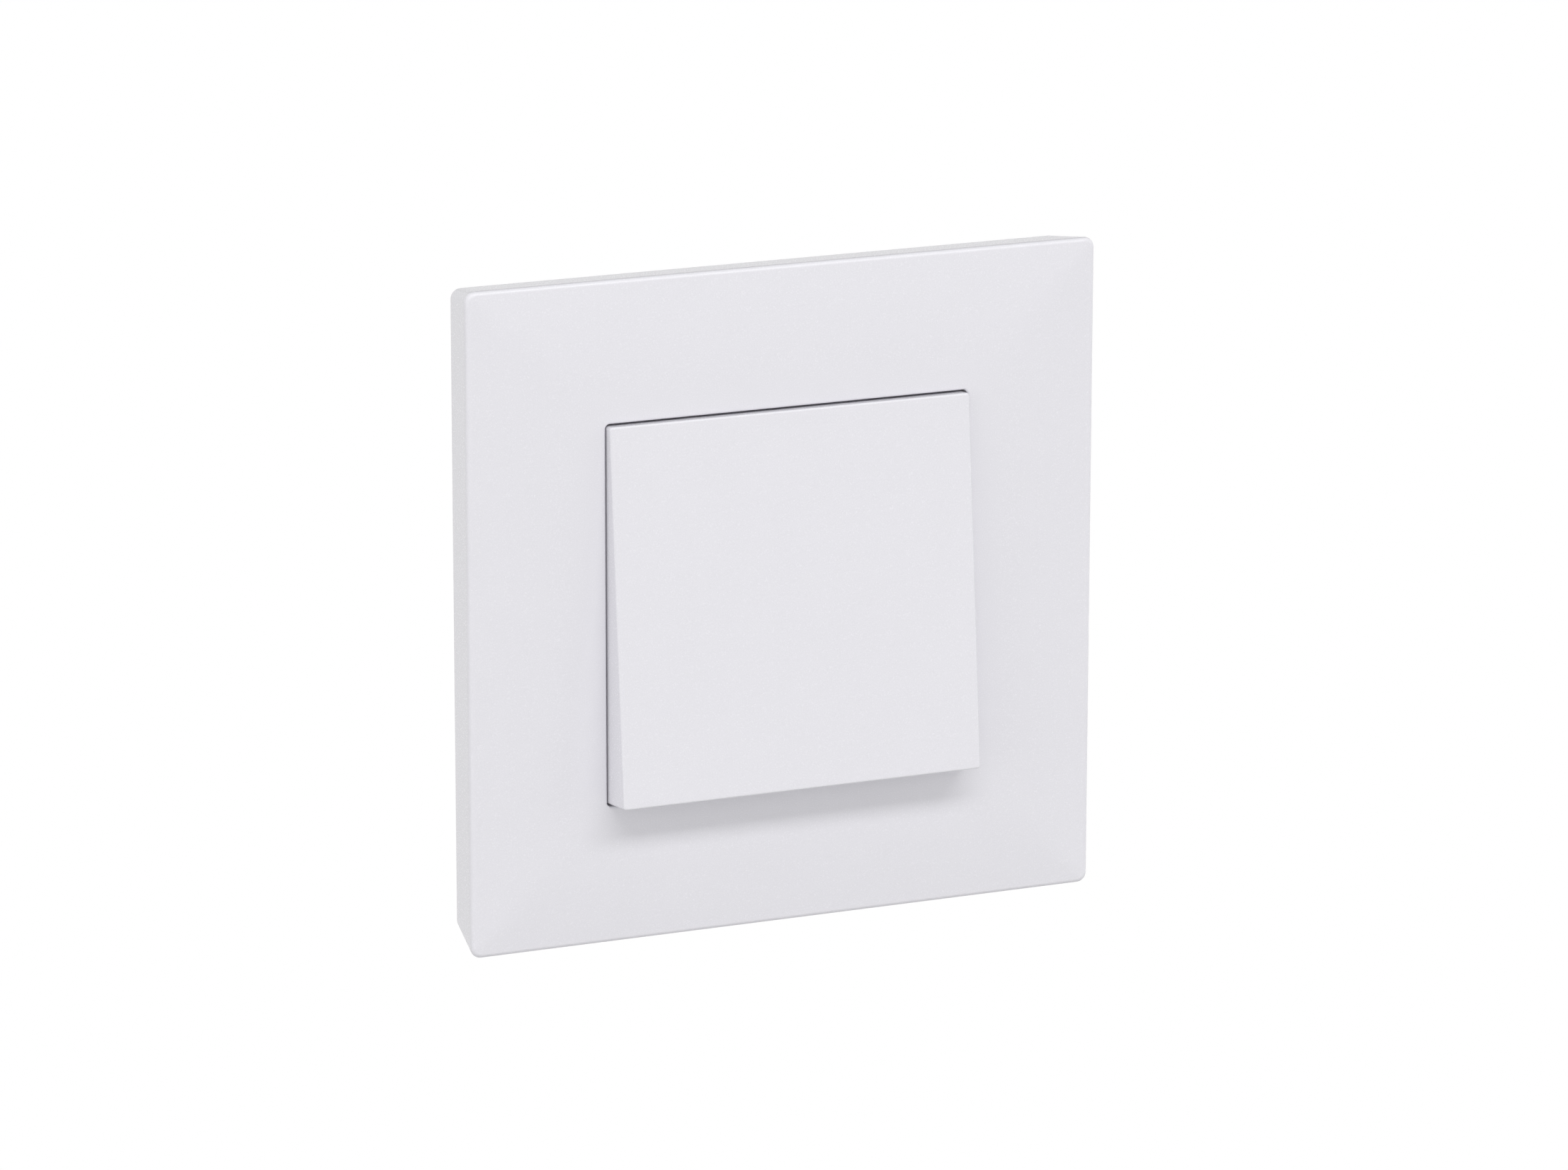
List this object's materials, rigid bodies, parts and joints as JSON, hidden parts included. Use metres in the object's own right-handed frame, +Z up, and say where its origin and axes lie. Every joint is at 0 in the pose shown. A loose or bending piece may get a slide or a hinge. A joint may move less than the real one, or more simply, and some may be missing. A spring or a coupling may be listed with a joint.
{
  "type": "light switch",
  "caption": "Flush rocker light switch: square white frame with crowned front, one large flat rocker, steel support plate and a two-way contact mechanism with claws behind",
  "frame": {"origin": "middle of the wall plane, between the two box screws", "axes": "+X right as seen from the room, +Y into the wall, +Z up"},
  "size_m": [0.084, 0.0378, 0.084],
  "materials": {
    "white_plastic": "satin moulded white plastic",
    "grey_plastic": "moulded light grey plastic",
    "carrier_plastic": "moulded natural acetal",
    "zinc_steel": "bright zinc plate",
    "brass": "stamped brass",
    "silver": "silver alloy contact tips",
    "spring_steel": "drawn spring wire"
  },
  "bodies": {
    "mechanism": {"cover_frame": "white_plastic", "support_plate": "zinc_steel", "housing_base": "grey_plastic", "housing_cover": "grey_plastic", "cover_screws": "zinc_steel", "common_bar": "brass", "upper_contact_bar": "brass", "lower_contact_bar": "brass", "fixed_contacts": "silver", "terminal_screws": "zinc_steel", "claw_pins": "zinc_steel", "terminal_clamp_1": "zinc_steel", "terminal_clamp_2": "zinc_steel", "terminal_clamp_3": "zinc_steel", "terminal_clamp_4": "zinc_steel"},
    "rocker": {"rocker_cap": "white_plastic", "rocker_carrier": "carrier_plastic", "toggle_spring": "spring_steel"},
    "plunger": {"plunger": "carrier_plastic"},
    "contact_lever": {"contact_lever": "brass", "moving_contacts": "silver"},
    "claw_left": {"claw_left": "zinc_steel"},
    "claw_right": {"claw_right": "zinc_steel"},
    "claw_screw_left": {"claw_screw_left": "zinc_steel"},
    "claw_screw_right": {"claw_screw_right": "zinc_steel"}
  },
  "joints": [
    {"name": "rocker_tilt", "type": "hinge", "parent": "mechanism", "child": "rocker", "pos_m": [0, -0.0082, 0], "axis": [1, 0, 0], "range_deg": [0, 10]},
    {"name": "contact_lever_tilt", "type": "hinge", "parent": "mechanism", "child": "contact_lever", "pos_m": [0, 0.00759, 0], "axis": [1, 0, 0], "range_deg": [-15.69, 0]},
    {"name": "plunger_slide", "type": "slide", "parent": "rocker", "child": "plunger", "axis": [0, -0.9962, 0.0872], "range_m": [0, 0.0006], "stiffness_N_per_m": 500, "springref_m": -0.004, "deforming": ["toggle_spring"]},
    {"name": "claw_left_spread", "type": "hinge", "parent": "mechanism", "child": "claw_left", "pos_m": [-0.0208, 0.0032, 0], "axis": [0, 0, 1], "range_deg": [0, 27]},
    {"name": "claw_screw_left_drive", "type": "slide", "parent": "mechanism", "child": "claw_screw_left", "axis": [0, 1, 0], "range_m": [0, 0.00121]},
    {"name": "claw_right_spread", "type": "hinge", "parent": "mechanism", "child": "claw_right", "pos_m": [0.0208, 0.0032, 0], "axis": [0, 0, -1], "range_deg": [0, 27]},
    {"name": "claw_screw_right_drive", "type": "slide", "parent": "mechanism", "child": "claw_screw_right", "axis": [0, 1, 0], "range_m": [0, 0.00121]}
  ],
  "couplings": [
    {"joint": "contact_lever_tilt", "follows": "rocker_tilt", "ratio": -1.5675},
    {"joint": "claw_screw_left_drive", "follows": "claw_left_spread", "m_per_rad": 0.0025465},
    {"joint": "claw_screw_right_drive", "follows": "claw_right_spread", "m_per_rad": 0.0025465}
  ]
}
